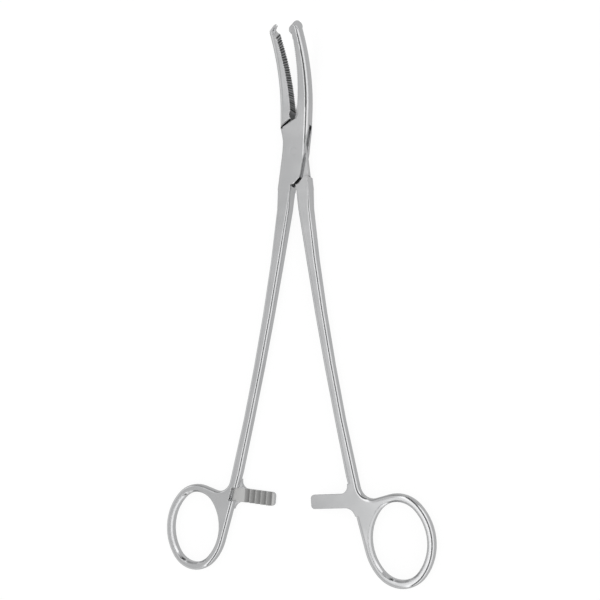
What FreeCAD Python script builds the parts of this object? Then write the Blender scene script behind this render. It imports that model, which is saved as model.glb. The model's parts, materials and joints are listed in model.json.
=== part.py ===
"""Curved hysterectomy clamp: two forged halves, crossed in a box lock, and the pin they turn on."""

import FreeCAD, Part
import math
import os
import Sketcher

os.makedirs("parts", exist_ok=True)
doc = FreeCAD.newDocument("hysterectomy_clamp")
sheet = doc.addObject("Spreadsheet::Sheet", "Sizes")

# Driving dimensions in millimetres and degrees.
# Each half is drawn closed, in its own frame: the pivot at the origin, the tips towards +Y,
# the mid-plane of the steel at Z = 0, and the line where the two halves meet at X = 0.
SIZES = [
    ("open_angle", 8.5, "angle between the halves as they lie at rest"),
    ("jaw_round", 1.9, "rounding of the jaw's back"),
    ("box_depth", 5.5, "front to back through the box"),
    ("box_width", 11.6, "box across its corners"),
    ("box_waist", 9.8, "box across the pivot"),
    ("box_reach", 10.8, "pivot to the outer end of each slanted shoulder"),
    ("shoulder_reach", 13.7, "pivot to the inner end of each slanted shoulder"),
    ("shoulder_inner", 1.0, "inner end of the shoulder to the middle line"),
    ("shoulder_gap", 0.3, "room between shoulder and cheek when closed"),
    ("shoulder_inset", 2.2, "cheek's corner inside the box's side, beside the other half's shank"),
    ("shoulder_bevel", 0.35, "bevel along the slanted shoulders"),
    ("slot_width", 2.4, "slot between the two cheeks"),
    ("slot_clearance", 0.05, "room between tongue and cheek, each side"),
    ("slot_end", 11.3, "pivot to the slot's end wall, at the outer face"),
    ("slot_end_inner", 14.3, "pivot to the slot's end wall, at the middle line"),
    ("slot_end_gap", 0.25, "room between the tongue and the slot's end wall"),
    ("tongue_inset", 0.1, "tongue's edge behind the cheek's edge"),
    ("pin_radius", 1.5, "hinge pin"),
    ("pin_clearance", 0.05, "running room of the pin in the tongue"),
    ("jaw_gap", 0.2, "room between the closed jaw faces"),
    ("jaw_root", 18.0, "pivot to where the jaws begin to curve forward"),
    ("jaw_back_radius", 48.0, "curve of the jaw's rear edge, seen from the side"),
    ("jaw_front_radius", 45.5, "curve of the jaw's front edge, seen from the side"),
    ("jaw_sweep", 44.9, "how far the jaws turn forward"),
    ("male_jaw_bulge", 4.3, "thickness half way along the single-tooth jaw"),
    ("female_jaw_bulge", 4.75, "thickness half way along the double-tooth jaw"),
    ("male_tip_depth", 2.6, "jaw thickness at the tip of the single-tooth jaw"),
    ("female_tip_depth", 3.3, "jaw thickness at the tip of the double-tooth jaw"),
    ("jaw_start", 14.5, "pivot to where the jaw leaves the box"),
    ("serration_pitch", 0.8, "spacing of the cross serrations"),
    ("serration_depth", 0.34, "depth of the cross serrations"),
    ("serration_sweep", 37.0, "angle along the jaw that the serrations cover"),
    ("scoop_length", 3.6, "smooth hollow below the serrations, along the jaw"),
    ("scoop_depth", 0.7, "depth of the smooth hollow"),
    ("nose_radius", 2.2, "round nose of the outer half's jaw, and its two teeth"),
    ("nose_middle", 1.2, "middle line to the middle of the round nose"),
    ("tooth_width", 1.2, "each tooth, front to back"),
    ("tooth_spread", 1.45, "double teeth from the middle of the jaw"),
    ("tooth_room", 0.25, "room round each tooth in the other jaw"),
    ("claw_rise", 0.8, "single tooth beyond the middle line"),
    ("claw_root", 3.2, "how far down the jaw the single tooth is rooted"),
    ("claw_base", 2.1, "middle line to the back of the single tooth"),
    ("claw_hollow", 3.0, "hollow under the single tooth's point"),
    ("male_nose", 2.0, "rounding of the inner half's nose"),
    ("shank_top", 24.0, "pivot to where the shanks leave the box's thickness"),
    ("shank_end", 132.0, "pivot to the lower end of the shank"),
    ("shank_top_offset", 3.0, "middle line to the shank's middle, at the top"),
    ("shank_end_offset", 15.2, "middle line to the shank's middle, at the lower end"),
    ("shank_bow", 1.3, "sag of the shank's line towards the middle line"),
    ("shank_top_width", 5.5, "shank across, at the top"),
    ("shank_slim_width", 4.1, "shank across, where it is slimmest"),
    ("shank_end_width", 4.5, "shank across, at the lower end"),
    ("shank_top_depth", 5.1, "shank front to back, at the top"),
    ("shank_slim_depth", 3.8, "shank front to back, where it is slimmest"),
    ("root_round", 0.3, "rounding of the shank's corners at the box"),
    ("top_round", 1.0, "rounding of the shank's corners at the top"),
    ("shank_round", 1.45, "rounding of the shank's corners"),
    ("ring_offset", 32.3, "middle line to the middle of the finger ring"),
    ("ring_reach", 155.8, "pivot to the middle of the finger ring"),
    ("hole_length", 28.3, "finger hole along its long way"),
    ("hole_width", 21.8, "finger hole across"),
    ("hole_end_radius", 9.0, "curve of the finger hole at its two ends"),
    ("wire_width", 3.1, "finger ring's wall"),
    ("ring_depth", 3.7, "finger ring front to back"),
    ("ring_round", 1.45, "rounding of the finger ring's outer edges"),
    ("hole_bevel", 0.8, "bevel round the finger hole"),
    ("neck_offset", 19.0, "middle line to the corner between shank and ring"),
    ("neck_reach", 141.3, "pivot to the corner between shank and ring"),
    ("neck_radius", 5.2, "hollow between shank and ring"),
    ("rack_top", 138.0, "pivot to the upper edge of the ratchet bars"),
    ("rack_height", 5.4, "ratchet bar across"),
    ("rack_tip", 1.95, "ratchet bar beyond the middle line"),
    ("rack_gap", 0.1, "room between the two ratchet bars"),
    ("rack_relief", 2.4, "how far the room for the other bar is milled into the shank"),
    ("rack_nose", 1.4, "rounded corners at the bar's end"),
    ("rack_upper_fillet", 3.0, "fillet above the bar, at the shank"),
    ("rack_lower_fillet", 4.0, "fillet below the bar, at the ring"),
    ("rack_teeth", 5, "ratchet teeth on each bar"),
    ("rack_pitch", 2.5, "spacing of the ratchet teeth"),
    ("rack_tooth_depth", 0.8, "depth of the ratchet teeth"),
    ("rack_tooth_inset", 0.9, "end of the bar to its first tooth"),
]
for row, (alias, number, meaning) in enumerate(SIZES, start=1):
    sheet.set("A%d" % row, alias)
    sheet.set("B%d" % row, str(number))
    sheet.set("C%d" % row, meaning)
    sheet.setAlias("B%d" % row, alias)
doc.recompute()

# Sizes that several pieces share, worked out from the driving ones.
DERIVED = {
    "half_box": "Sizes.box_width / 2",
    "half_depth": "Sizes.box_depth / 2",
    "face": "Sizes.jaw_gap / 2",
    "spare_sweep": "Sizes.jaw_sweep + 3",
    "male_shoulder_reach": "Sizes.shoulder_reach + Sizes.shoulder_gap",
    "male_box_reach": "Sizes.box_reach + Sizes.shoulder_gap",
    "tongue_half": "Sizes.box_width / 2 - Sizes.tongue_inset",
    "tongue_waist": "Sizes.box_waist / 2 - Sizes.tongue_inset",
    "tongue_end": "Sizes.slot_end - Sizes.slot_end_gap",
    "tongue_end_inner": "Sizes.slot_end_inner - Sizes.slot_end_gap",
    "side_radius": "(pow(Sizes.hole_width / 2; 2) + pow(Sizes.hole_length / 2 - Sizes.hole_end_radius; 2)"
                   " - pow(Sizes.hole_end_radius; 2)) / (Sizes.hole_width - 2 * Sizes.hole_end_radius)",
    "end_shift": "Sizes.hole_length / 2 - Sizes.hole_end_radius",
    "rack_depth": "(Sizes.ring_depth - Sizes.rack_gap) / 2",
    "root_half": "Sizes.shank_top_offset + Sizes.shank_top_width / 2",
    "root_reach": "Sizes.shoulder_reach + 2.5",
    "ring_inner": "Sizes.ring_offset - Sizes.hole_width / 2 - Sizes.wire_width",
    "shank_inner": "Sizes.shank_end_offset - Sizes.shank_end_width / 2",
    "shank_outer": "Sizes.shank_end_offset + Sizes.shank_end_width / 2",
}


def expand(text):
    """Put the shared sizes, written in braces, into an expression."""
    return text.format(**{name: "(" + rule + ")" for name, rule in DERIVED.items()})


def value(text):
    """The present number of an expression."""
    return float(sheet.evalExpression(expand(text)))


def tie(item, prop, text):
    """Bind one property of an object to an expression on the sheet."""
    item.setExpression(prop, expand(text))


def origin_feature(body, role):
    return next(f for f in body.Origin.OriginFeatures if f.Role == role)


def new_sketch(body, label, plane, shift=None):
    """A sketch on one of the body's own planes, moved by expressions if shift is given."""
    sketch = body.newObject("Sketcher::SketchObject", label)
    sketch.AttachmentSupport = (origin_feature(body, plane), [""])
    sketch.MapMode = "FlatFace"
    for prop, text in (shift or {}).items():
        tie(sketch, "AttachmentOffset." + prop, text)
    doc.recompute()
    return sketch


def arc_between(start, end, radius):
    """Arc of the given radius from start to end, on the left of the chord if radius is positive."""
    middle = (start + end) * 0.5
    chord = end - start
    rise = math.sqrt(max(radius * radius - chord.Length * chord.Length / 4, 0.0))
    left = FreeCAD.Vector(-chord.y, chord.x, 0).normalize()
    centre = middle + left * math.copysign(rise, radius)
    first = math.atan2(start.y - centre.y, start.x - centre.x)
    last = math.atan2(end.y - centre.y, end.x - centre.x)
    circle = Part.Circle(centre, FreeCAD.Vector(0, 0, 1), abs(radius))
    if radius > 0:
        return Part.ArcOfCircle(circle, first, last)
    return Part.ArcOfCircle(circle, last, first)


def outline(sketch, corners):
    """Closed outline. A corner is (x, y) or (x, y, radius): the radius bends the edge after it,
    centred on the left of the way to the next corner if sign is +, on the right if -."""
    points = [FreeCAD.Vector(value(c[0]), value(c[1]), 0) for c in corners]
    ends = []
    for index, corner in enumerate(corners):
        start = points[index]
        end = points[(index + 1) % len(points)]
        if len(corner) == 2:
            edge = sketch.addGeometry(Part.LineSegment(start, end))
            ends.append((edge, 1, 2))
            continue
        sign, text = corner[2][0], corner[2][1:]
        radius = value(text)
        edge = sketch.addGeometry(arc_between(start, end, radius if sign == "+" else -radius))
        ends.append((edge, 1, 2) if sign == "+" else (edge, 2, 1))
        rule = sketch.addConstraint(Sketcher.Constraint("Radius", edge, radius))
        sketch.renameConstraint(rule, "radius_%d" % index)
        tie(sketch, "Constraints.radius_%d" % index, text)
    for index, corner in enumerate(corners):
        edge, first, last = ends[index]
        after, after_first, unused = ends[(index + 1) % len(ends)]
        sketch.addConstraint(Sketcher.Constraint("Coincident", edge, last, after, after_first))
        for kind, number, text in (("DistanceX", points[index].x, corner[0]),
                                   ("DistanceY", points[index].y, corner[1])):
            rule = sketch.addConstraint(Sketcher.Constraint(kind, -1, 1, edge, first, number))
            name = "%s_%d" % (kind, index)
            sketch.renameConstraint(rule, name)
            tie(sketch, "Constraints." + name, text)
    doc.recompute()
    return sketch


def oval_corner(wall, right, up):
    """Where a side arc of the finger hole's oval meets an end arc, or of a line outside it by wall."""
    shift = "({side_radius} - Sizes.hole_width / 2)"
    reach = "(({side_radius} + %s) / ({side_radius} - Sizes.hole_end_radius))" % wall
    return "%d * %s * (%s - 1)" % (right, shift, reach), "%d * {end_shift} * %s" % (up, reach)


def touch(point, centre, radius, turn):
    """Where the line from a point touches a circle: on its left (turn 1) or right (-1) seen from it."""
    across = "(%s - (%s))" % (point[0], centre[0])
    along = "(%s - (%s))" % (point[1], centre[1])
    angle = "(atan2(%s; %s) + %d * acos(%s / hypot(%s; %s)))" % (along, across, turn, radius, across, along)
    return "%s + %s * cos(%s)" % (centre[0], radius, angle), "%s + %s * sin(%s)" % (centre[1], radius, angle)


def check_step(feature, gains):
    """A feature has to change the volume the way it is meant to."""
    doc.recompute()
    before = feature.BaseFeature.Shape.Volume if feature.BaseFeature else 0.0
    change = feature.Shape.Volume - before
    if (change > 0) != gains or abs(change) < 1e-6:
        raise ValueError("%s changes the volume by %.4f" % (feature.Label, change))
    return feature


def pad(body, sketch, length, midplane=True, reverse=False):
    feature = body.newObject("PartDesign::Pad", sketch.Label + "_pad")
    feature.Profile = sketch
    feature.Midplane = midplane
    feature.Reversed = reverse
    tie(feature, "Length", length)
    return check_step(feature, True)


def pocket(body, sketch, length, midplane=True, reverse=False):
    feature = body.newObject("PartDesign::Pocket", sketch.Label + "_pocket")
    feature.Profile = sketch
    feature.Midplane = midplane
    feature.Reversed = reverse
    tie(feature, "Length", length)
    return check_step(feature, False)


def dress(body, kind, label, picked, size):
    """Fillet or Chamfer on the edges of the present solid that picked accepts."""
    base = body.Tip
    names = ["Edge%d" % (i + 1) for i, edge in enumerate(base.Shape.Edges) if picked(edge)]
    if not names:
        raise ValueError("no edges for " + label)
    feature = body.newObject("PartDesign::" + kind, label)
    feature.Base = (base, names)
    tie(feature, "Radius" if kind == "Fillet" else "Size", size)
    doc.recompute()
    return feature


def repeat(body, kind, feature, axis, span_name, span, count):
    """Linear or polar pattern of one feature along or about an axis."""
    pattern = body.newObject("PartDesign::" + kind, feature.Label + "_" + kind.lower())
    pattern.Originals = [feature]
    if kind == "LinearPattern":
        pattern.Direction = axis
    else:
        pattern.Axis = axis
    tie(pattern, span_name, span)
    tie(pattern, "Occurrences", count)
    body.Tip = pattern
    doc.recompute()
    return pattern


def middle_of(edge):
    return edge.valueAt((edge.FirstParameter + edge.LastParameter) / 2)


def ring_outline(sketch, side):
    """Outer line of ring and web: arcs round the hole, left and met again by tangent lines."""
    wall = "Sizes.wire_width"
    side_arc = "({side_radius} + Sizes.wire_width)"
    end_arc = "(Sizes.hole_end_radius + Sizes.wire_width)"
    centre = ("Sizes.ring_offset", "-Sizes.ring_reach")
    inner = ("{shank_inner}", "-Sizes.shank_end")
    outer = ("{shank_outer}", "-Sizes.shank_end")
    neck = ("Sizes.neck_offset", "-Sizes.neck_reach")
    near_centre = ("(Sizes.ring_offset + {side_radius} - Sizes.hole_width / 2)", centre[1])
    top_centre = (centre[0], "(-Sizes.ring_reach + {end_shift})")
    leave = touch(inner, near_centre, side_arc, 1)
    meet = touch(neck, top_centre, end_arc, -1)
    turn = "+" if side > 0 else "-"
    corners = [(inner[0], inner[1]), (leave[0], leave[1], turn + side_arc)]
    for right, up, arc in ((-1, -1, end_arc), (1, -1, side_arc), (1, 1, end_arc)):
        across, along = oval_corner(wall, right, up)
        corners.append((centre[0] + " + " + across, centre[1] + " + " + along, turn + arc))
    corners += [meet, neck, outer]
    return outline(sketch, [("%d * (%s)" % (side, c[0]),) + tuple(c[1:]) for c in corners])


def add_ring(body, side):
    """Finger ring and the flat web that joins it to the shank."""
    plate = ring_outline(new_sketch(body, "ring", "XY_Plane"), side)
    pad(body, plate, "Sizes.ring_depth")
    place = {"Base.x": "%d * Sizes.ring_offset" % side, "Base.y": "-Sizes.ring_reach"}
    arcs = (((1, -1), "+{side_radius}"), ((1, 1), "+Sizes.hole_end_radius"),
            ((-1, 1), "+{side_radius}"), ((-1, -1), "+Sizes.hole_end_radius"))
    hole = outline(new_sketch(body, "finger_hole", "XY_Plane", place),
                   [oval_corner("0", right, up) + (arc,) for (right, up), arc in arcs])
    pocket(body, hole, "2 * Sizes.ring_depth")
    corner = FreeCAD.Vector(side * value("Sizes.neck_offset"), -value("Sizes.neck_reach"), 0)
    dress(body, "Fillet", "neck",
          lambda edge: (middle_of(edge) - corner).Length < 0.01, "Sizes.neck_radius")
    level = value("Sizes.ring_depth") / 2
    top = -value("Sizes.shank_end") - 0.01
    across, along = [value(text) for text in oval_corner("0", 1, 1)]
    centre = FreeCAD.Vector(side * value("Sizes.ring_offset"), -value("Sizes.ring_reach"), 0)

    def on_face(edge):
        return abs(abs(middle_of(edge).z) - level) < 1e-4 and middle_of(edge).y < top

    def at_hole(edge):
        ends = [corner.Point - centre for corner in edge.Vertexes]
        return all(abs(abs(end.x) - across) + abs(abs(end.y) - along) < 0.01 for end in ends)

    dress(body, "Fillet", "ring_edges", lambda edge: on_face(edge) and not at_hole(edge), "Sizes.ring_round")
    dress(body, "Chamfer", "hole_edges", lambda edge: on_face(edge) and at_hole(edge), "Sizes.hole_bevel")


def shank_section(body, side, index, reach, offset, width, depth, rounding):
    """Rounded section of the shank at one distance below the pivot."""
    sketch = new_sketch(body, "shank_section_%d" % index, "XZ_Plane", {"Base.z": reach})
    left = "%d * (%s) - (%s) / 2" % (side, offset, width)
    right = "%d * (%s) + (%s) / 2" % (side, offset, width)
    low = "-(%s) / 2" % depth
    high = "(%s) / 2" % depth
    arc = "+" + rounding
    return outline(sketch, [
        (left + " + " + rounding, low),
        (right + " - " + rounding, low, arc),
        (right, low + " + " + rounding),
        (right, high + " - " + rounding, arc),
        (right + " - " + rounding, high),
        (left + " + " + rounding, high, arc),
        (left, high + " - " + rounding),
        (left, low + " + " + rounding, arc),
    ])


def add_shank(body, side):
    """Long bowed shank, deep at the box, nearly round where it is slimmest."""
    sections = [shank_section(body, side, 0, "Sizes.shoulder_reach + 1.5", "Sizes.shank_top_offset",
                              "Sizes.shank_top_width + 0.1", "Sizes.box_depth", "Sizes.root_round")]
    steps = 5
    for index in range(steps + 1):
        way = index / steps
        reach = "Sizes.shank_top + %.2f * (Sizes.shank_end - Sizes.shank_top)" % way
        offset = ("Sizes.shank_top_offset + %.2f * (Sizes.shank_end_offset - Sizes.shank_top_offset)"
                  " - %.3f * Sizes.shank_bow" % (way, 4 * way * (1 - way)))
        waning = (1 - way) ** 2.5
        width = "Sizes.shank_slim_width + %.4f * (Sizes.shank_top_width - Sizes.shank_slim_width)" % waning
        depth = "Sizes.shank_slim_depth + %.4f * (Sizes.shank_top_depth - Sizes.shank_slim_depth)" % waning
        if index == steps:
            width = "Sizes.shank_end_width"
        rounding = "Sizes.shank_round" if index else "Sizes.top_round"
        sections.append(shank_section(body, side, index + 1, reach, offset, width, depth, rounding))
    feature = body.newObject("PartDesign::AdditiveLoft", "shank")
    feature.Ruled = True
    feature.Profile = sections[0]
    feature.Sections = sections[1:]
    check_step(feature, True)


def web_edge(reach):
    """Middle line to the straight inner edge of shank and web, at one distance below the pivot."""
    return "({shank_inner} + (%s - Sizes.shank_end) * tan(%s))" % (reach, web_lean())


def web_lean():
    """Angle between that edge, which runs into the ring's side, and the middle line."""
    across = "(Sizes.ring_offset + {side_radius} - Sizes.hole_width / 2 - {shank_inner})"
    along = "(Sizes.ring_reach - Sizes.shank_end)"
    ring = "({side_radius} + Sizes.wire_width)"
    return "(90 deg - atan2(%s; %s) - asin(%s / hypot(%s; %s)))" % (along, across, ring, across, along)


def add_rack(body, side):
    """Ratchet bar: the pair pass each other, one behind and one in front of the mid-plane."""
    front = side > 0
    start = "(Sizes.rack_gap / 2)" if front else "(-Sizes.rack_gap / 2 - {rack_depth})"
    sketch = new_sketch(body, "rack", "XY_Plane", {"Base.z": start})
    top = "-Sizes.rack_top"
    low = "(-Sizes.rack_top - Sizes.rack_height)"
    upper = web_edge("Sizes.rack_top")
    lower = web_edge("(Sizes.rack_top + Sizes.rack_height)")
    lean = web_lean()
    up = "(Sizes.rack_upper_fillet / tan(45 deg - %s / 2))" % lean
    down = "(Sizes.rack_lower_fillet / tan(45 deg + %s / 2))" % lean
    nose = "Sizes.rack_nose"
    inside = "%s / 2" % "Sizes.shank_end_width"
    turn, back = ("-", "+") if front else ("+", "-")
    corners = [
        ("%s - %s * sin(%s) + %s" % (upper, up, lean, inside), "%s + %s * cos(%s)" % (top, up, lean)),
        ("%s - %s * sin(%s)" % (upper, up, lean), "%s + %s * cos(%s)" % (top, up, lean),
         turn + "Sizes.rack_upper_fillet"),
        ("%s - %s" % (upper, up), top),
        ("-Sizes.rack_tip + " + nose, top, back + nose),
        ("-Sizes.rack_tip", top + " - " + nose),
        ("-Sizes.rack_tip", low + " + " + nose, back + nose),
        ("-Sizes.rack_tip + " + nose, low),
        ("%s - %s" % (lower, down), low, turn + "Sizes.rack_lower_fillet"),
        ("%s + %s * sin(%s)" % (lower, down, lean), "%s - %s * cos(%s)" % (low, down, lean)),
        ("%s + %s * sin(%s) + %s" % (lower, down, lean, inside), "%s - %s * cos(%s)" % (low, down, lean)),
    ]
    corners = [("%d * (%s)" % (side, c[0]),) + tuple(c[1:]) for c in corners]
    pad(body, outline(sketch, corners), "{rack_depth}", midplane=False)
    relief = outline(new_sketch(body, "rack_relief", "XY_Plane", {"Base.z": "%d * Sizes.rack_gap / 2" % side}), [
        ("%d * (%s - 2 * Sizes.rack_relief)" % (side, upper), top),
        ("%d * (%s + Sizes.rack_relief)" % (side, upper), top),
        ("%d * (%s + Sizes.rack_relief)" % (side, lower), low),
        ("%d * (%s - 2 * Sizes.rack_relief)" % (side, lower), low),
    ])
    pocket(body, relief, "Sizes.ring_depth", midplane=False, reverse=not front)
    tooth = new_sketch(body, "ratchet_tooth", "XZ_Plane",
                       {"Base.z": "Sizes.rack_top + Sizes.rack_height / 2"})
    crest = "(%d * Sizes.rack_gap / 2)" % side
    floor = "(%d * (Sizes.rack_gap / 2 + Sizes.rack_tooth_depth))" % side
    first = "(-Sizes.rack_tip + Sizes.rack_tooth_inset)"
    outline(tooth, [
        ("%d * %s" % (side, first), crest),
        ("%d * (%s + 0.15 * Sizes.rack_pitch)" % (side, first), floor),
        ("%d * (%s + 0.3 * Sizes.rack_pitch)" % (side, first), floor),
        ("%d * (%s + 0.95 * Sizes.rack_pitch)" % (side, first), crest),
    ])
    cut = pocket(body, tooth, "2 * Sizes.rack_height")
    pattern = repeat(body, "LinearPattern", cut, (tooth, ["H_Axis"]), "Length",
                     "(Sizes.rack_teeth - 1) * Sizes.rack_pitch", "Sizes.rack_teeth")
    pattern.Reversed = side < 0
    check_step(pattern, False)


def waist_radius(half_width, half_waist):
    """Radius of the hollow side of the box, from its corner to its waist."""
    rise = "(%s - %s)" % (half_width, half_waist)
    return "((Sizes.box_reach * Sizes.box_reach + %s * %s) / (2 * %s))" % (rise, rise, rise)


def bevel_shoulders(body):
    """Narrow bevels along the slanted shoulders, front and back."""
    box_end = value("Sizes.box_reach")
    root_end = value("{male_shoulder_reach}")
    level = value("{half_depth}")

    def shoulder(edge):
        heights = [abs(corner.Y) for corner in edge.Vertexes]
        on_face = abs(abs(middle_of(edge).z) - level) < 0.01
        slanted = max(heights) - min(heights) > (root_end - box_end) / 2
        return on_face and slanted and min(heights) > box_end - 0.01 and max(heights) < root_end + 0.01

    dress(body, "Chamfer", "shoulder_edges", shoulder, "Sizes.shoulder_bevel")


def add_cheeks(body, jaw):
    """Box of the outer half: two cheeks with the slot between them."""
    curve = ("+" if jaw > 0 else "-") + waist_radius("{half_box}", "Sizes.box_waist / 2")
    plan = outline(new_sketch(body, "box", "XY_Plane"), [
        ("%d * {face}" % jaw, "Sizes.jaw_start + 2"),
        ("%d * {half_box}" % jaw, "Sizes.jaw_start + 2"),
        ("%d * {half_box}" % jaw, "Sizes.box_reach", curve),
        ("%d * Sizes.box_waist / 2" % jaw, "0"),
        ("%d * ({half_box} - Sizes.shoulder_inset)" % jaw, "-Sizes.box_reach"),
        ("%d * Sizes.shoulder_inner" % jaw, "-Sizes.shoulder_reach"),
        ("%d * {face}" % -jaw, "-Sizes.shoulder_reach"),
        ("%d * {face}" % -jaw, "-{root_reach}"),
        ("%d * {root_half}" % -jaw, "-{root_reach}"),
        ("%d * Sizes.box_waist / 2" % -jaw, "0", curve),
        ("%d * {half_box}" % -jaw, "Sizes.box_reach"),
        ("%d * Sizes.shoulder_inner" % -jaw, "Sizes.shoulder_reach"),
        ("%d * {face}" % jaw, "Sizes.shoulder_reach"),
    ])
    pad(body, plan, "Sizes.box_depth")
    bevel_shoulders(body)


def cut_slot(body, jaw):
    """Slot through the box, open at both sides, with a slanted wall at each end."""
    far = "(Sizes.box_width / 2 + 1)"
    slope = "((Sizes.slot_end_inner - Sizes.slot_end) / {half_box})"
    beyond = "(Sizes.slot_end_inner + 3)"
    slot = outline(new_sketch(body, "slot", "XY_Plane"), [
        ("%d * %s" % (jaw, far), "Sizes.slot_end_inner - %s * %s" % (slope, far)),
        ("%d * {face}" % jaw, "Sizes.slot_end_inner - %s * {face}" % slope),
        ("%d * {face}" % jaw, beyond),
        ("%d * %s" % (-jaw, far), beyond),
        ("%d * %s" % (-jaw, far), "-Sizes.slot_end_inner + %s * %s" % (slope, far)),
        ("%d * {face}" % -jaw, "-Sizes.slot_end_inner + %s * {face}" % slope),
        ("%d * {face}" % -jaw, "-" + beyond),
        ("%d * %s" % (jaw, far), "-" + beyond),
    ])
    pocket(body, slot, "Sizes.slot_width")


def add_tongue(body, jaw):
    """Inner half: full-depth roots of jaw and shank, joined by the thin tongue in the slot."""
    jaw_root = outline(new_sketch(body, "jaw_root", "XY_Plane"), [
        ("%d * {face}" % jaw, "Sizes.jaw_start + 2"),
        ("%d * {half_box}" % jaw, "Sizes.jaw_start + 2"),
        ("%d * {half_box}" % jaw, "{male_box_reach}"),
        ("%d * Sizes.shoulder_inner" % jaw, "{male_shoulder_reach}"),
        ("%d * {face}" % jaw, "{male_shoulder_reach}"),
    ])
    pad(body, jaw_root, "Sizes.box_depth")
    side_slope = "(({root_half} - Sizes.box_waist / 2) / {root_reach})"
    shank_root = outline(new_sketch(body, "shank_root", "XY_Plane"), [
        ("%d * {face}" % -jaw, "-{male_shoulder_reach}"),
        ("%d * {face}" % -jaw, "-{root_reach}"),
        ("%d * {root_half}" % -jaw, "-{root_reach}"),
        ("%d * (Sizes.box_waist / 2 + %s * {male_box_reach})" % (-jaw, side_slope), "-{male_box_reach}"),
        ("%d * ({half_box} - Sizes.shoulder_inset)" % -jaw, "-{male_box_reach}"),
        ("%d * Sizes.shoulder_inner" % -jaw, "-{male_shoulder_reach}"),
    ])
    pad(body, shank_root, "Sizes.box_depth")
    curve = ("+" if jaw > 0 else "-") + waist_radius("{tongue_half}", "{tongue_waist}")
    low_half = "({tongue_waist} + %s * Sizes.box_reach)" % side_slope
    tongue = outline(new_sketch(body, "tongue", "XY_Plane"), [
        ("%d * {tongue_half}" % -jaw, "{tongue_end}"),
        ("%d * {face}" % jaw, "{tongue_end_inner}"),
        ("%d * Sizes.shoulder_inner" % jaw, "Sizes.slot_end_inner + 1"),
        ("%d * {tongue_half}" % jaw, "Sizes.box_reach + 1"),
        ("%d * {tongue_half}" % jaw, "Sizes.box_reach", curve),
        ("%d * {tongue_waist}" % jaw, "0"),
        ("%d * %s" % (jaw, low_half), "-Sizes.box_reach"),
        ("%d * {face}" % -jaw, "-{tongue_end_inner}"),
        ("%d * Sizes.shoulder_inner" % -jaw, "-Sizes.slot_end_inner - 1"),
        ("%d * %s" % (-jaw, low_half), "-Sizes.box_reach"),
        ("%d * {tongue_waist}" % -jaw, "0", curve),
        ("%d * {tongue_half}" % -jaw, "Sizes.box_reach"),
    ])
    pad(body, tongue, "Sizes.slot_width - 2 * Sizes.slot_clearance")
    bevel_shoulders(body)


def add_jaw(body, jaw):
    """Jaw: swept forward along an arc, flat inside, rounded outside, thinner towards the tip."""
    centre = "(Sizes.jaw_back_radius - {half_depth})"
    front_centre = "(Sizes.jaw_front_radius - Sizes.jaw_back_radius + 2 * {half_depth})"
    side = new_sketch(body, "jaw_side", "YZ_Plane", {"Base.x": "Sizes.jaw_root", "Base.y": centre})
    back = "-Sizes.jaw_back_radius"
    front = "(%s - Sizes.jaw_front_radius)" % front_centre
    start = "Sizes.jaw_start - Sizes.jaw_root"
    turn_x = "sin({spare_sweep} * 1 deg)"
    turn_y = "cos({spare_sweep} * 1 deg)"
    outline(side, [
        (start, back),
        ("0", back, "+Sizes.jaw_back_radius"),
        ("Sizes.jaw_back_radius * " + turn_x, "-Sizes.jaw_back_radius * " + turn_y),
        ("Sizes.jaw_front_radius * " + turn_x,
         front_centre + " - Sizes.jaw_front_radius * " + turn_y, "-Sizes.jaw_front_radius"),
        ("0", front),
        (start, front),
    ])
    tie(side, "AttachmentOffset.Base.z", "%d * {face}" % jaw)
    pad(body, side, "{half_box} - {face}", midplane=False, reverse=jaw < 0)
    return side


def trim_jaw(body, jaw, kind):
    """Outer side of the jaw, drawn in plan as one long curve from the box's corner to the tip."""
    tip = "(Sizes.jaw_root + Sizes.jaw_back_radius * sin({spare_sweep} * 1 deg))"
    half_way = "((Sizes.box_reach + %s) / 2)" % tip
    thin = "Sizes." + kind + "_tip_depth"
    # Circle through the box's corner, the point half way and the tip.
    chord = "(sqrt(pow(%s - Sizes.box_reach; 2) + pow({half_box} - %s; 2)))" % (tip, thin)
    sag = "(Sizes.%s_jaw_bulge - ({half_box} + %s) / 2)" % (kind, thin)
    radius = "((%s * %s / 4 + %s * %s) / (2 * %s))" % (chord, chord, sag, sag, sag)
    clear = "({half_box} + 3)"
    plan = outline(new_sketch(body, "jaw_plan", "XY_Plane"), [
        ("%d * {half_box}" % jaw, "Sizes.box_reach", ("+" if jaw > 0 else "-") + radius),
        ("%d * %s" % (jaw, thin), tip),
        ("%d * %s" % (jaw, clear), tip),
        ("%d * %s" % (jaw, clear), "Sizes.box_reach"),
    ])
    pocket(body, plan, "6 * Sizes.jaw_back_radius")


def round_outside(body, jaw, kind):
    """Rounded back of the jaw, from the box's corner to the tip."""
    box_end = value("Sizes.box_reach")
    tip_depth = value("Sizes.%s_tip_depth" % kind)

    def outer_edge(edge):
        heights = [corner.Y for corner in edge.Vertexes]
        above = min(heights) > box_end - 0.01
        return above and max(heights) > 2 * box_end and jaw * middle_of(edge).x > 0.7 * tip_depth

    dress(body, "Fillet", "jaw_back", outer_edge, "Sizes.jaw_round")


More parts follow.
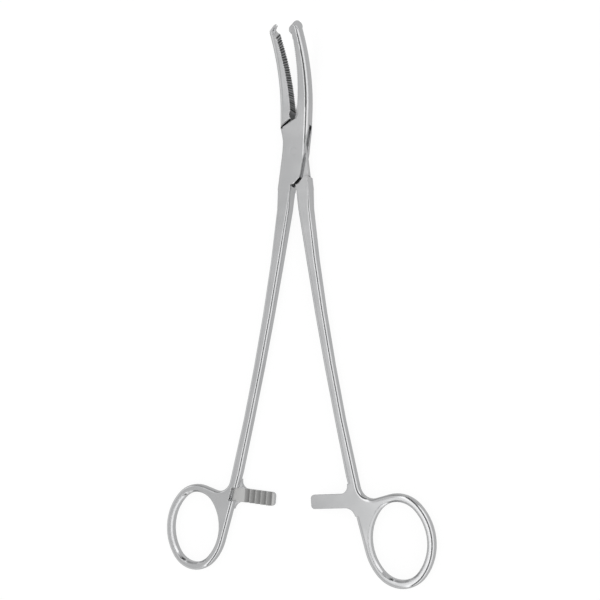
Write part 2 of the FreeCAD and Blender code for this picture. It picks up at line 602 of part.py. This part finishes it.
def add_serrations(body, jaw, side):
    """Cross serrations: one groove, repeated up round the jaw's arc, and the smooth hollow below."""
    lip = "(%d * ({face} - 0.05))" % jaw
    floor = "(%d * ({face} + Sizes.serration_depth))" % jaw
    groove = outline(new_sketch(body, "serration", "XY_Plane"), [
        (lip, "Sizes.jaw_root - 0.42 * Sizes.serration_pitch"),
        (floor, "Sizes.jaw_root"),
        (lip, "Sizes.jaw_root + 0.42 * Sizes.serration_pitch"),
    ])
    cut = pocket(body, groove, "Sizes.box_depth + 1")
    arc_length = "(Sizes.serration_sweep * pi / 180 * Sizes.jaw_front_radius)"
    curved = repeat(body, "PolarPattern", cut, (side, ["N_Axis"]), "Angle",
                    "Sizes.serration_sweep", "floor(%s / Sizes.serration_pitch) + 1" % arc_length)
    check_step(curved, False)
    first = "(Sizes.jaw_root - 0.6 * Sizes.serration_pitch)"
    sag = "Sizes.scoop_depth"
    radius = "((pow(Sizes.scoop_length; 2) / 4 + pow(%s; 2)) / (2 * %s))" % (sag, sag)
    scoop = outline(new_sketch(body, "scoop", "XY_Plane"), [
        ("%d * {face}" % jaw, first, ("-" if jaw > 0 else "+") + radius),
        ("%d * {face}" % jaw, first + " - Sizes.scoop_length"),
    ])
    pocket(body, scoop, "Sizes.box_depth + 1")


def tip_sketch(body, label, across="0"):
    """A sketch across the jaw's end: X across both jaws, Y along the jaw, 0 at its very end."""
    turn = "(Sizes.jaw_sweep * 1 deg)"
    end_depth = ("(Sizes.box_depth - (Sizes.jaw_front_radius - Sizes.jaw_back_radius"
                 " + Sizes.box_depth) * (1 - cos(%s)))" % turn)
    radius = "(Sizes.jaw_back_radius - %s / 2 - (%s))" % (end_depth, across)
    sketch = new_sketch(body, label, "XY_Plane")
    sketch.AttachmentOffset = FreeCAD.Placement(FreeCAD.Vector(0, 0, 0),
                                                FreeCAD.Rotation(FreeCAD.Vector(1, 0, 0), 1))
    tie(sketch, "AttachmentOffset.Rotation.Angle", "Sizes.jaw_sweep")
    tie(sketch, "AttachmentOffset.Base.y", "Sizes.jaw_root + %s * sin(%s)" % (radius, turn))
    tie(sketch, "AttachmentOffset.Base.z",
        "Sizes.jaw_back_radius - {half_depth} - %s * cos(%s)" % (radius, turn))
    doc.recompute()
    return sketch


def nose_circle(sketch, room):
    """The round nose of the outer half's jaw, or the room round it."""
    radius = "(Sizes.nose_radius + %s)" % room
    quarters = ((1, 0), (0, 1), (-1, 0), (0, -1))
    return outline(sketch, [("Sizes.nose_middle + %d * %s" % (right, radius),
                             "-Sizes.nose_radius + %d * %s" % (up, radius), "+" + radius)
                            for right, up in quarters])


def add_female_tip(body):
    """Round nose with two teeth that stand beyond the middle line, and room between for the single tooth."""
    radius = "Sizes.nose_radius"
    beyond = "(Sizes.nose_radius + 1)"
    end = outline(tip_sketch(body, "nose"), [
        ("Sizes.nose_middle + " + beyond, "-" + radius),
        ("Sizes.nose_middle + " + radius, "-" + radius, "+" + radius),
        ("Sizes.nose_middle", "0", "+" + radius),
        ("Sizes.nose_middle - " + radius, "-" + radius),
        ("Sizes.nose_middle - " + beyond, "-" + radius),
        ("Sizes.nose_middle - " + beyond, "Sizes.box_depth"),
        ("Sizes.nose_middle + " + beyond, "Sizes.box_depth"),
    ])
    pocket(body, end, "3 * Sizes.box_depth")
    for index, across in enumerate(("Sizes.tooth_spread", "-Sizes.tooth_spread")):
        tooth = nose_circle(tip_sketch(body, "tip_tooth_%d" % index, across), "0")
        pad(body, tooth, "Sizes.tooth_width")
    floor = "Sizes.claw_rise + Sizes.tooth_room"
    low = "-Sizes.claw_root - Sizes.tooth_room"
    room = outline(tip_sketch(body, "tooth_room"), [
        ("{face} - 0.05", low),
        (floor, low),
        (floor, "1"),
        ("{face} - 0.05", "1"),
    ])
    pocket(body, room, "Sizes.tooth_width + 2 * Sizes.tooth_room")


def add_male_tip(body):
    """Hollow for the two teeth, and the single hooked tooth that closes between them."""
    outside = "-Sizes.male_tip_depth"
    corner = outline(tip_sketch(body, "nose"), [
        (outside, "-Sizes.male_nose", "-Sizes.male_nose"),
        (outside + " + Sizes.male_nose", "0"),
        ("1", "0"),
        ("1", "Sizes.box_depth"),
        (outside + " - 1", "Sizes.box_depth"),
        (outside + " - 1", "-Sizes.male_nose"),
    ])
    pocket(body, corner, "3 * Sizes.box_depth")
    room = nose_circle(tip_sketch(body, "tooth_room"), "Sizes.tooth_room")
    pocket(body, room, "3 * Sizes.box_depth")
    claw = outline(tip_sketch(body, "tip_tooth"), [
        ("-Sizes.claw_base", "-Sizes.claw_root"),
        ("-Sizes.claw_base + 0.5", "-Sizes.claw_root"),
        ("-Sizes.claw_base + 0.5", "-0.75 * Sizes.claw_root", "-Sizes.claw_hollow"),
        ("Sizes.claw_rise", "-0.5"),
        ("Sizes.claw_rise", "-0.2"),
        ("-0.3 * Sizes.claw_base", "0"),
        ("-Sizes.claw_base", "-0.2 * Sizes.claw_root"),
    ])
    pad(body, claw, "Sizes.tooth_width")


def round_sketch(body, label, radius):
    """Circle about the pivot."""
    sketch = new_sketch(body, label, "XY_Plane")
    curve = sketch.addGeometry(Part.Circle(FreeCAD.Vector(0, 0, 0), FreeCAD.Vector(0, 0, 1), value(radius)))
    sketch.addConstraint(Sketcher.Constraint("Coincident", curve, 3, -1, 1))
    rule = sketch.addConstraint(Sketcher.Constraint("Radius", curve, value(radius)))
    sketch.renameConstraint(rule, "radius")
    tie(sketch, "Constraints.radius", radius)
    doc.recompute()
    return sketch


def half(name, jaw, kind):
    """One forged half: ring, ratchet bar, shank, its share of the box, and the jaw."""
    body = doc.addObject("PartDesign::Body", name)
    body.Label = name
    handle = -jaw
    add_ring(body, handle)
    add_shank(body, handle)
    add_rack(body, handle)
    if jaw > 0:
        add_cheeks(body, jaw)
        hole = "Sizes.pin_radius"
    else:
        add_tongue(body, jaw)
        hole = "Sizes.pin_radius + Sizes.pin_clearance"
    side = add_jaw(body, jaw)
    trim_jaw(body, jaw, kind)
    round_outside(body, jaw, kind)
    if jaw > 0:
        cut_slot(body, jaw)
    pocket(body, round_sketch(body, "pin_hole", hole), "2 * Sizes.box_depth")
    add_serrations(body, jaw, side)
    add_female_tip(body) if jaw > 0 else add_male_tip(body)
    return body


def pin():
    """Hinge pin, riveted into both cheeks and ground flush."""
    body = doc.addObject("PartDesign::Body", "pivot_pin")
    body.Label = "pivot_pin"
    pad(body, round_sketch(body, "pin_section", "Sizes.pin_radius"), "Sizes.box_depth")
    return body


female_half = half("female_half", 1, "female")
male_half = half("male_half", -1, "male")
pivot_pin = pin()
bodies = [female_half, male_half, pivot_pin]
up = FreeCAD.Vector(0, 0, 1)
for body, share in ((female_half, "-0.5"), (male_half, "0.5"), (pivot_pin, "-0.5")):
    body.Placement = FreeCAD.Placement(FreeCAD.Vector(0, 0, 0), FreeCAD.Rotation(up, 1))
    tie(body, "Placement.Base.z", "{half_depth}")
    tie(body, "Placement.Rotation.Angle", share + " * Sizes.open_angle")

doc.recompute()
for item in doc.Objects:
    if "Invalid" in item.State or "Error" in item.State:
        raise ValueError("%s did not compute" % item.Label)
for body in bodies:
    shape = body.Shape
    if shape.isNull() or not shape.isValid() or len(shape.Solids) != 1:
        raise ValueError("%s has no sound solid" % body.Label)
    shape.exportStep("parts/%s.step" % body.Label)
    print(body.Label, "solids", len(shape.Solids), "volume", round(shape.Volume, 2))
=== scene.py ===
# %% [markdown]
# A curved clamp for surgery is forged from stainless steel, milled, ground and polished.
# The imported model gives every solid in metres at its real place, so this lesson starts by loading it.

# %% Load the imported model
import json
import math

import bpy
from mathutils import Matrix, Vector


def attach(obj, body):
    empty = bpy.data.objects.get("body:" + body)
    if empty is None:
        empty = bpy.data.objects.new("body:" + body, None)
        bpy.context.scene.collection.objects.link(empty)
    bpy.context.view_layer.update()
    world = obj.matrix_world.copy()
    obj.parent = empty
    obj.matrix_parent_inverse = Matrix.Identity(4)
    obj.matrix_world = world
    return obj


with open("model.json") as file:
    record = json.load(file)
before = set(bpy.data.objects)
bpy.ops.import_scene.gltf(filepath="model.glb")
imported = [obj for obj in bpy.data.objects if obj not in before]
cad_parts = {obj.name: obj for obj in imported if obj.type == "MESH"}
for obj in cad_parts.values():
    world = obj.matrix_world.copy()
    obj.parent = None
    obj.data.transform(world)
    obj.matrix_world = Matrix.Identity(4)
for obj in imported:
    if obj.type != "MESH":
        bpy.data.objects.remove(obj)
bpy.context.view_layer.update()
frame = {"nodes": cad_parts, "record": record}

MM = 0.001
print("nodes:", sorted(frame["nodes"]))

# %% [markdown]
# Colours are written as sRGB hex values, the way a paint or web chart gives them.
# Cycles wants linear light, so one function turns a hex value into a linear colour.
# A second small function adds a shader node with its settings, links and numbers in one call.

# %% Helpers for colours and shader nodes
def linear(hex_colour):
    """Linear RGBA of an sRGB hex colour such as #C8C9CA."""
    digits = hex_colour.lstrip("#")
    parts = [int(digits[i:i + 2], 16) / 255 for i in (0, 2, 4)]
    light = [c / 12.92 if c <= 0.04045 else ((c + 0.055) / 1.055) ** 2.4 for c in parts]
    return (*light, 1.0)


def add_node(tree, kind, links=None, values=None, **properties):
    """Add a node with its properties, its links {input: output socket} and its values {input: number}."""
    node = tree.nodes.new(kind)
    for name, setting in properties.items():
        setattr(node, name, setting)
    for name, number in (values or {}).items():
        node.inputs[name].default_value = number
    for name, source in (links or {}).items():
        tree.links.new(source, node.inputs[name])
    return node


print("steel grey in linear light:", [round(c, 3) for c in linear("#C8C9CA")])

# %% [markdown]
# The halves are forged from a martensitic stainless steel, then ground and polished to satin.
# It could be one even grey, but real polishing leaves fine lines along each piece and slightly
# dull and bright patches. Both are drawn by noise, and the lines' noise is stretched along the clamp.
# The wheel also breaks every edge. The solids keep their small edges sharp, so the shader rounds
# the light on them, which draws a thin bright line along the box, the shoulders and the bars.

# %% Satin stainless steel
LINE_SPACING = 0.25 * MM
LINE_STRETCH = 0.04
LINE_STRENGTH = 0.12
LINE_DEPTH = 0.01 * MM
PATCH_SIZE = 12 * MM
PATCH_RANGE = (0.3, 0.7)
BROKEN_EDGE = 0.5 * MM
EDGE_SAMPLES = 6
GLOSS_SPREAD = 0.03
POLISHED_ROUGHNESS = 0.15
GROUND_ROUGHNESS = 0.2


def satin_steel(name, pale, dark, roughness):
    """Polished steel with fine lines along Y and soft patches. Returns the material, its surface,
    place and edge nodes, and the sockets that give its colour and its roughness."""
    steel = bpy.data.materials.new(name)
    steel.use_nodes = True
    tree = steel.node_tree
    tree.nodes.clear()
    place = add_node(tree, "ShaderNodeTexCoord")
    stretch = add_node(tree, "ShaderNodeMapping", {"Vector": place.outputs["Object"]},
                       {"Scale": (1, LINE_STRETCH, 1)})
    lines = add_node(tree, "ShaderNodeTexNoise", {"Vector": stretch.outputs["Vector"]},
                     {"Scale": 1 / LINE_SPACING, "Detail": 2})
    patches = add_node(tree, "ShaderNodeTexNoise", {"Vector": place.outputs["Object"]},
                       {"Scale": 1 / PATCH_SIZE, "Detail": 3})
    tone = add_node(tree, "ShaderNodeMix", {"Factor": patches.outputs["Fac"]},
                    {"A": linear(dark), "B": linear(pale)}, data_type="RGBA")
    gloss = add_node(tree, "ShaderNodeMapRange", {"Value": patches.outputs["Fac"]},
                     {"From Min": PATCH_RANGE[0], "From Max": PATCH_RANGE[1],
                      "To Min": roughness - GLOSS_SPREAD, "To Max": roughness + GLOSS_SPREAD})
    edge = add_node(tree, "ShaderNodeBevel", values={"Radius": BROKEN_EDGE}, samples=EDGE_SAMPLES)
    bump = add_node(tree, "ShaderNodeBump",
                    {"Height": lines.outputs["Fac"], "Normal": edge.outputs["Normal"]},
                    {"Strength": LINE_STRENGTH, "Distance": LINE_DEPTH})
    surface = add_node(tree, "ShaderNodeBsdfPrincipled",
                       {"Base Color": tone.outputs["Result"], "Roughness": gloss.outputs["Result"],
                        "Normal": bump.outputs["Normal"]}, {"Metallic": 1})
    add_node(tree, "ShaderNodeOutputMaterial", {"Surface": surface.outputs["BSDF"]})
    return steel, surface, place, edge, tone.outputs["Result"], gloss.outputs["Result"]


rivet_steel = satin_steel("ground_flush_rivet_steel", "#D2D2D3", "#C6C7C8", GROUND_ROUGHNESS)[0]
frame["nodes"]["pivot_pin"].material_slots[0].material = rivet_steel
print("rivet:", rivet_steel.name)

# %% [markdown]
# The jaws' inner faces, the hollow below them, the slanted shoulders of the box and the ratchet teeth
# are milled and not polished after. They could be pieces of their own, but they are cut in the same
# steel, so the shader works out where they are, in each half's own frame. The jaw face is a thin
# layer at the middle line, and the teeth lie in the middle of the steel's thickness. Most limits
# reach a little past the solid's own, so that their soft borders fall outside the cut.

# %% Where the milled faces lie
REST_OPENING = -frame["record"]["behaviour"]["joints"][0]["range_deg"][0]
MIDDLE = frame["record"]["behaviour"]["joints"][0]["pos_m"][2]
JAW_FACE = 0.1 * MM
GROOVE_FLOOR = 0.5 * MM
JAW_ROOT = 17.6 * MM
JAW_END = 48.8 * MM
HOLLOW_START = 13.8 * MM
HOLLOW_FLOOR = 0.85 * MM
SHOULDER_START = 10.4 * MM
SHOULDER_END = 14.4 * MM
SHOULDER_DEPTH = 6.0 * MM
RACK_TOP = 138.0 * MM
RACK_HEIGHT = 5.4 * MM
RACK_ROOT = 17.0 * MM
RACK_TIP = 2.1 * MM
TOOTH_DEPTH = 1.0 * MM
# Further out than any point of the clamp, and more than any part of a unit normal.
FAR = 1.0
BEYOND = 2.0


def region(tree, limits):
    """1 where every value lies between its low and high limit, 0 outside, blurred at each limit."""
    inside = None
    for socket, low, high, blur in limits:
        above = add_node(tree, "ShaderNodeMapRange", {"Value": socket},
                         {"From Min": low - blur, "From Max": low + blur})
        below = add_node(tree, "ShaderNodeMapRange", {"Value": socket},
                         {"From Min": high + blur, "From Max": high - blur})
        for step in (above.outputs["Result"], below.outputs["Result"]):
            if inside is None:
                inside = step
            else:
                both = add_node(tree, "ShaderNodeMath", {0: inside, 1: step}, operation="MULTIPLY")
                inside = both.outputs["Value"]
    return inside


print("halves rest", REST_OPENING, "degrees apart")

# %% [markdown]
# The serrations run across the jaw and follow its curve, so the stripes are counted by the angle
# round the curve's centre, which lies in front of the clamp. Stripes counted straight along the clamp
# would be simpler, but they would lean more and more against the jaw towards its tip. The solid's
# grooves are 0.8 mm apart, which is two pixels of the picture and blurs to one grey, so the stripes
# are drawn 1.1 mm apart.

# %% Stripes of the serrations
CURVE_START = 18.0 * MM
CURVE_RADIUS = 46.8 * MM
CURVE_HEIGHT = 48.0 * MM
STRIPE_SPACING = 1.1 * MM
STRIPE_EDGE = 0.5


# The stripes paint light on the ridges of the serrations and shade in their grooves.
def jaw_stripes(tree, along, height):
    """0 on the ridges and 1 in the grooves, from the place along the clamp and the height."""
    forward = add_node(tree, "ShaderNodeMath", {0: along}, {1: CURVE_START}, operation="SUBTRACT")
    below = add_node(tree, "ShaderNodeMath", {1: height}, {0: CURVE_HEIGHT}, operation="SUBTRACT")
    sweep = add_node(tree, "ShaderNodeMath", {0: forward.outputs["Value"], 1: below.outputs["Value"]},
                     operation="ARCTAN2")
    turns = add_node(tree, "ShaderNodeMath", {0: sweep.outputs["Value"]},
                     {1: 2 * math.pi * CURVE_RADIUS / STRIPE_SPACING}, operation="MULTIPLY")
    wave = add_node(tree, "ShaderNodeMath", {0: turns.outputs["Value"]}, operation="SINE")
    stripes = add_node(tree, "ShaderNodeMapRange", {"Value": wave.outputs["Value"]},
                       {"From Min": -STRIPE_EDGE, "From Max": STRIPE_EDGE})
    return stripes.outputs["Result"]


print("one stripe every", STRIPE_SPACING / MM, "mm, or",
      round(math.degrees(STRIPE_SPACING / CURVE_RADIUS), 2), "degrees of the jaw's curve")

# %% [markdown]
# Milled steel is duller and a little darker than polished steel. The rest of its darkness is painted
# shade: darkest in the grooves of the jaws, with painted light on their ridges, and darker deeper in the
# hollow and between the ratchet teeth. The slanted shoulder walls see only the other half, so they are
# painted nearly black, as painted shade. Each milled part mixes its own two greys over the satin, and
# takes the rounded light off its edges, because a cutter leaves them sharp. The milled parts could share
# one mask, but then the hollow, the grooves and the teeth would all have the same grey.

# %% Forged halves with milled parts and painted shade
MILLED_ROUGHNESS = 0.38
FACES_INWARD = 0.3
FACES_ENDWISE = 0.6
FACES_BAR = 0.3


def forged_half(name, turn, rack_side):
    """Satin steel with milled parts. turn is the half's rotation at rest, in degrees, and rack_side
    is 1 where the ratchet bar lies to the right and in front, -1 to the left and behind."""
    steel, surface, place, edge, tone, gloss = satin_steel(name, "#DADADB", "#C4C5C6", POLISHED_ROUGHNESS)
    tree = steel.node_tree
    back = (0, 0, math.radians(-turn))
    own = add_node(tree, "ShaderNodeMapping", {"Vector": place.outputs["Object"]}, {"Rotation": back})
    spot = add_node(tree, "ShaderNodeSeparateXYZ", {"Vector": own.outputs["Vector"]})
    turned = add_node(tree, "ShaderNodeMapping", {"Vector": place.outputs["Normal"]}, {"Rotation": back},
                      vector_type="VECTOR")
    facing = add_node(tree, "ShaderNodeSeparateXYZ", {"Vector": turned.outputs["Vector"]})
    across, along, height = (spot.outputs[axis] for axis in "XYZ")
    depth, reach, inward, endwise = (
        add_node(tree, "ShaderNodeMath", {0: socket}, operation="ABSOLUTE").outputs["Value"]
        for socket in (across, along, facing.outputs["X"], facing.outputs["Y"]))

    stripes = jaw_stripes(tree, along, height)
    hollow = add_node(tree, "ShaderNodeMapRange", {"Value": depth},
                      {"From Min": JAW_FACE, "From Max": HOLLOW_FLOOR}).outputs["Result"]
    sunk = add_node(tree, "ShaderNodeMapRange", {"Value": height},
                    {"From Min": MIDDLE, "From Max": MIDDLE + rack_side * TOOTH_DEPTH}).outputs["Result"]
    bar_length = sorted((rack_side * RACK_ROOT, -rack_side * RACK_TIP))
    tooth_heights = sorted((MIDDLE, MIDDLE + rack_side * TOOTH_DEPTH))
    tooth_facing = sorted((-rack_side * FACES_BAR, -rack_side * BEYOND))
    milled_parts_with_painted_shade = [
        # Jaw serrations: painted light on the ridges and painted shade in the grooves, over a duller
        # milled face.
        (stripes, "#B8B9BA", "#303132", [
            (depth, -FAR, GROOVE_FLOOR, 0.02 * MM),
            (along, JAW_ROOT, JAW_END, 0.3 * MM),
            (inward, FACES_INWARD, BEYOND, 0.05)]),
        # Hollow below the jaws: a duller milled face, with painted shade that darkens deeper in.
        (hollow, "#B4B5B6", "#848586", [
            (depth, -FAR, HOLLOW_FLOOR, 0.02 * MM),
            (along, HOLLOW_START, JAW_ROOT, 0.1 * MM),
            (inward, FACES_INWARD, BEYOND, 0.05)]),
        # Shoulder walls in the gap between the halves: painted shade, nearly black.
        (hollow, "#2A2B2C", "#2A2B2C", [
            (reach, SHOULDER_START, SHOULDER_END, 0.1 * MM),
            (depth, -FAR, SHOULDER_DEPTH, 0.1 * MM),
            (endwise, FACES_ENDWISE, BEYOND, 0.05)]),
        # Ratchet teeth: painted shade that darkens deeper between the teeth.
        (sunk, "#CFCFCE", "#949493", [
            (across, *bar_length, 0.1 * MM),
            (along, -RACK_TOP - RACK_HEIGHT, -RACK_TOP, 0.1 * MM),
            (height, *tooth_heights, 0.05 * MM),
            (facing.outputs["Z"], *tooth_facing, 0.1)]),
    ]

    broken_edge = add_node(tree, "ShaderNodeValue")
    broken_edge.outputs["Value"].default_value = BROKEN_EDGE
    radius = broken_edge.outputs["Value"]
    # Each milled part lays its painted shade over the satin, and on the jaws also painted light.
    for pattern, light, shade, limits in milled_parts_with_painted_shade:
        mask = region(tree, limits)
        painted_shading = add_node(tree, "ShaderNodeMix", {"Factor": pattern},
                          {"A": linear(light), "B": linear(shade)}, data_type="RGBA")
        colour = add_node(tree, "ShaderNodeMix",
                          {"Factor": mask, "A": tone, "B": painted_shading.outputs["Result"]}, data_type="RGBA")
        dull = add_node(tree, "ShaderNodeMix", {"Factor": mask, "A": gloss}, {"B": MILLED_ROUGHNESS},
                        data_type="FLOAT")
        sharp = add_node(tree, "ShaderNodeMix", {"Factor": mask, "A": radius}, {"B": 0},
                         data_type="FLOAT")
        tone, gloss, radius = (mixed.outputs["Result"] for mixed in (colour, dull, sharp))
    tree.links.new(tone, surface.inputs["Base Color"])
    tree.links.new(gloss, surface.inputs["Roughness"])
    tree.links.new(radius, edge.inputs["Radius"])
    return steel


outer_steel = forged_half("satin_stainless_steel_outer_half", -REST_OPENING / 2, -1)
inner_steel = forged_half("satin_stainless_steel_inner_half", REST_OPENING / 2, 1)
frame["nodes"]["female_half"].material_slots[0].material = outer_steel
frame["nodes"]["male_half"].material_slots[0].material = inner_steel
print("halves:", outer_steel.name, inner_steel.name)

# %% [markdown]
# The single tooth at the tip is a stout hook: its hollow is shallow and it is rooted deep in the jaw.
# The solid's hook is thin, so a small filling of the same steel stands in its hollow. It could be
# modelled freely, but drawn flat and turned to the jaw's end it keeps clear of the two teeth
# between which the hook closes. It is a hair narrower than the solid hook, so no two faces coincide.

# %% Filling of the hook
JAW_SWEEP = math.radians(44.9)
END_RADIUS = 45.69 * MM
HOOK_WIDTH = 1.16 * MM
# In mm from the middle of the jaw's end: towards the other jaw, then out along the jaw.
HOOK_OUTLINE = [
    (-0.2, -4.6), (-0.2, -4.9), (-1.9, -4.9), (-2.0, -1.2), (-0.9, -0.06), (0.74, -0.12), (0.68, -0.55),
    (-0.35, -1.6), (-1.0, -2.9),
]

jaw_end = Vector((0, CURVE_START + END_RADIUS * math.sin(JAW_SWEEP),
                  CURVE_HEIGHT - END_RADIUS * math.cos(JAW_SWEEP)))
to_jaw_end = (Matrix.Rotation(math.radians(REST_OPENING / 2), 4, "Z") @ Matrix.Translation(jaw_end)
              @ Matrix.Rotation(JAW_SWEEP, 4, "X"))
points = len(HOOK_OUTLINE)
corners = [to_jaw_end @ Vector((x * MM, y * MM, side * HOOK_WIDTH / 2))
           for side in (-1, 1) for x, y in HOOK_OUTLINE]
sides = [(i, (i + 1) % points, points + (i + 1) % points, points + i) for i in range(points)]
ends = [tuple(reversed(range(points))), tuple(range(points, 2 * points))]
hook_mesh = bpy.data.meshes.new("tip_hook")
hook_mesh.from_pydata(corners, [], sides + ends)
hook_mesh.materials.append(inner_steel)
hook = bpy.data.objects.new("tip_hook", hook_mesh)
bpy.context.collection.objects.link(hook)
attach(hook, "inner_half")
print("hook at", [round(c / MM, 2) for c in to_jaw_end.translation], "mm")

# %% [markdown]
# Polished steel shows little but what stands round it, so the room is most of its look.
# The clamp looks lit by two long soft boxes over it, with a dark gap between, where the lens is.
# Lamps could stand for them, but a band of light in the world has no edge to place and no hot spots.
# One list gives the light round the clamp's length and one the light along it, and the two are
# multiplied. Rays from the lens see plain white instead.

# %% Soft boxes painted on the world
# Degrees round the clamp's length, 0 straight up and 90 to the right, and the brightness there.
ROUND = [
    (-180, 0.50), (-150, 0.35), (-120, 0.45), (-92, 0.60), (-76, 1.10), (-64, 0.80), (-48, 0.62),
    (-33, 0.68), (-22, 0.71), (-15, 1.6), (-6, 1.6), (0, 0.18), (27, 0.10), (36, 1.3), (66, 1.2),
    (80, 0.66), (120, 0.50), (180, 0.50),
]
# Degrees of lean along the clamp, -90 to the rings and 90 to the jaws, and the share of the brightness.
ALONG = [
    (-90, 0.60), (-80, 1.25), (-68, 1.20), (-60, 1.0), (26, 1.0), (32, 1.25), (42, 1.20), (50, 0.45),
    (70, 0.60), (90, 0.75),
]

world = bpy.data.worlds.new("studio")
bpy.context.scene.world = world
world.use_nodes = True
tree = world.node_tree
tree.nodes.clear()
direction = add_node(tree, "ShaderNodeTexCoord")
parts = add_node(tree, "ShaderNodeSeparateXYZ", {"Vector": direction.outputs["Generated"]})
round_y = add_node(tree, "ShaderNodeMath", {0: parts.outputs["X"], 1: parts.outputs["Z"]},
                   operation="ARCTAN2")
lean = add_node(tree, "ShaderNodeMath", {0: parts.outputs["Y"]}, operation="ARCSINE")
ramps = []
for angle, limit, bands in ((round_y, 180, ROUND), (lean, 90, ALONG)):
    share = add_node(tree, "ShaderNodeMapRange", {"Value": angle.outputs["Value"]},
                     {"From Min": -math.radians(limit), "From Max": math.radians(limit)})
    ramp = add_node(tree, "ShaderNodeValToRGB", {"Fac": share.outputs["Result"]})
    stops = ramp.color_ramp.elements
    while len(stops) < len(bands):
        stops.new(0.5)
    # Brightness comes after all the places, when the stops stand in their final order.
    for stop, (degrees, strength) in zip(stops, bands):
        stop.position = (degrees + limit) / (2 * limit)
    for stop, (degrees, strength) in zip(stops, bands):
        stop.color = (strength, strength, strength, 1)
    ramps.append(ramp.outputs["Color"])
light = add_node(tree, "ShaderNodeMix", {"A": ramps[0], "B": ramps[1]}, {"Factor": 1},
                 data_type="RGBA", blend_type="MULTIPLY")
path = add_node(tree, "ShaderNodeLightPath")
room = add_node(tree, "ShaderNodeBackground", {"Color": light.outputs["Result"]})
white = add_node(tree, "ShaderNodeBackground", values={"Color": (1, 1, 1, 1)})
seen = add_node(tree, "ShaderNodeMixShader",
                {"Fac": path.outputs["Is Camera Ray"], 1: room.outputs["Background"],
                 2: white.outputs["Background"]})
add_node(tree, "ShaderNodeOutputWorld", {"Surface": seen.outputs["Shader"]})
print("bands of light:", len(ROUND), "round the clamp,", len(ALONG), "along it")

# %% [markdown]
# The clamp lies on a white table, on the flat back of its box lock.
# The photograph's table is burnt out to pure white. A lamp that bright would burn out the steel as
# well, so the floor adds a glow of its own to the light that it scatters. A faint shadow is left,
# which shows that the clamp lies on something. The steel mirrors a weaker glow than the lens sees,
# so that the clamp's sides stay grey. The spot of table between the roots of the jaws lies in
# the clamp's shade, so it glows least.

# %% White floor
FLOOR_SIZE = 1.2
FLOOR_DROP = 0.05 * MM
FLOOR_SHADOW = 0.14
FLOOR_GLOW = 1.06
MIRRORED_GLOW = 0.64
SHADED_SPOT = (0, 15.5 * MM, 0)
SHADED_RADIUS = 4.0 * MM
SHADED_BORDER = 6.0 * MM
SHADED_GLOW = 0.25

bpy.ops.mesh.primitive_plane_add(size=FLOOR_SIZE, location=(0, 0, -FLOOR_DROP))
floor = bpy.context.object
floor.name = "white_table"
table = bpy.data.materials.new("white_paper")
table.use_nodes = True
tree = table.node_tree
tree.nodes.clear()
path = add_node(tree, "ShaderNodeLightPath")
place = add_node(tree, "ShaderNodeTexCoord")
paper = add_node(tree, "ShaderNodeBsdfDiffuse", values={"Color": linear("#F8F8F8")})
strength = add_node(tree, "ShaderNodeMath", {0: path.outputs["Is Camera Ray"]},
                    {1: FLOOR_GLOW - MIRRORED_GLOW, 2: MIRRORED_GLOW}, operation="MULTIPLY_ADD")
glow = add_node(tree, "ShaderNodeEmission", {"Strength": strength.outputs["Value"]},
                {"Color": (1, 1, 1, 1)})
watched = add_node(tree, "ShaderNodeMath",
                   {0: path.outputs["Is Camera Ray"], 1: path.outputs["Is Glossy Ray"]},
                   operation="MAXIMUM")
away = add_node(tree, "ShaderNodeVectorMath", {0: place.outputs["Object"]}, {1: SHADED_SPOT},
                operation="DISTANCE")
open_floor = add_node(tree, "ShaderNodeMapRange", {"Value": away.outputs["Value"]},
                      {"From Min": SHADED_RADIUS, "From Max": SHADED_BORDER,
                       "To Min": SHADED_GLOW, "To Max": 1 - FLOOR_SHADOW})
share = add_node(tree, "ShaderNodeMath", {0: watched.outputs["Value"], 1: open_floor.outputs["Result"]},
                 operation="MULTIPLY")
both = add_node(tree, "ShaderNodeMixShader",
                {"Fac": share.outputs["Value"], 1: paper.outputs["BSDF"], 2: glow.outputs["Emission"]})
add_node(tree, "ShaderNodeOutputMaterial", {"Surface": both.outputs["Shader"]})
floor.data.materials.append(table)
print("table", FLOOR_SIZE, "m across")

# %% [markdown]
# The photograph looks down from the right of the handles, with a short telephoto view.
# The camera's place came from matching the tips, the box and the rings with the photograph.

# %% Camera
CAMERA_PLACE = Vector((0.1540, -0.1054, 0.32885))
CAMERA_TURNS = (("Y", 24.95), ("X", 7.013), ("Z", 0.4146))
FOCAL_LENGTH = 54
SENSOR_WIDTH = 36

lens = bpy.data.cameras.new("camera")
lens.lens = FOCAL_LENGTH
lens.sensor_width = SENSOR_WIDTH
camera = bpy.data.objects.new("camera", lens)
bpy.context.collection.objects.link(camera)
attitude = Matrix.Identity(4)
for axis, degrees in CAMERA_TURNS:
    attitude = attitude @ Matrix.Rotation(math.radians(degrees), 4, axis)
camera.matrix_world = Matrix.Translation(CAMERA_PLACE) @ attitude
bpy.context.scene.camera = camera
bpy.context.scene.view_settings.view_transform = "Standard"
print("camera at", [round(c, 4) for c in CAMERA_PLACE])
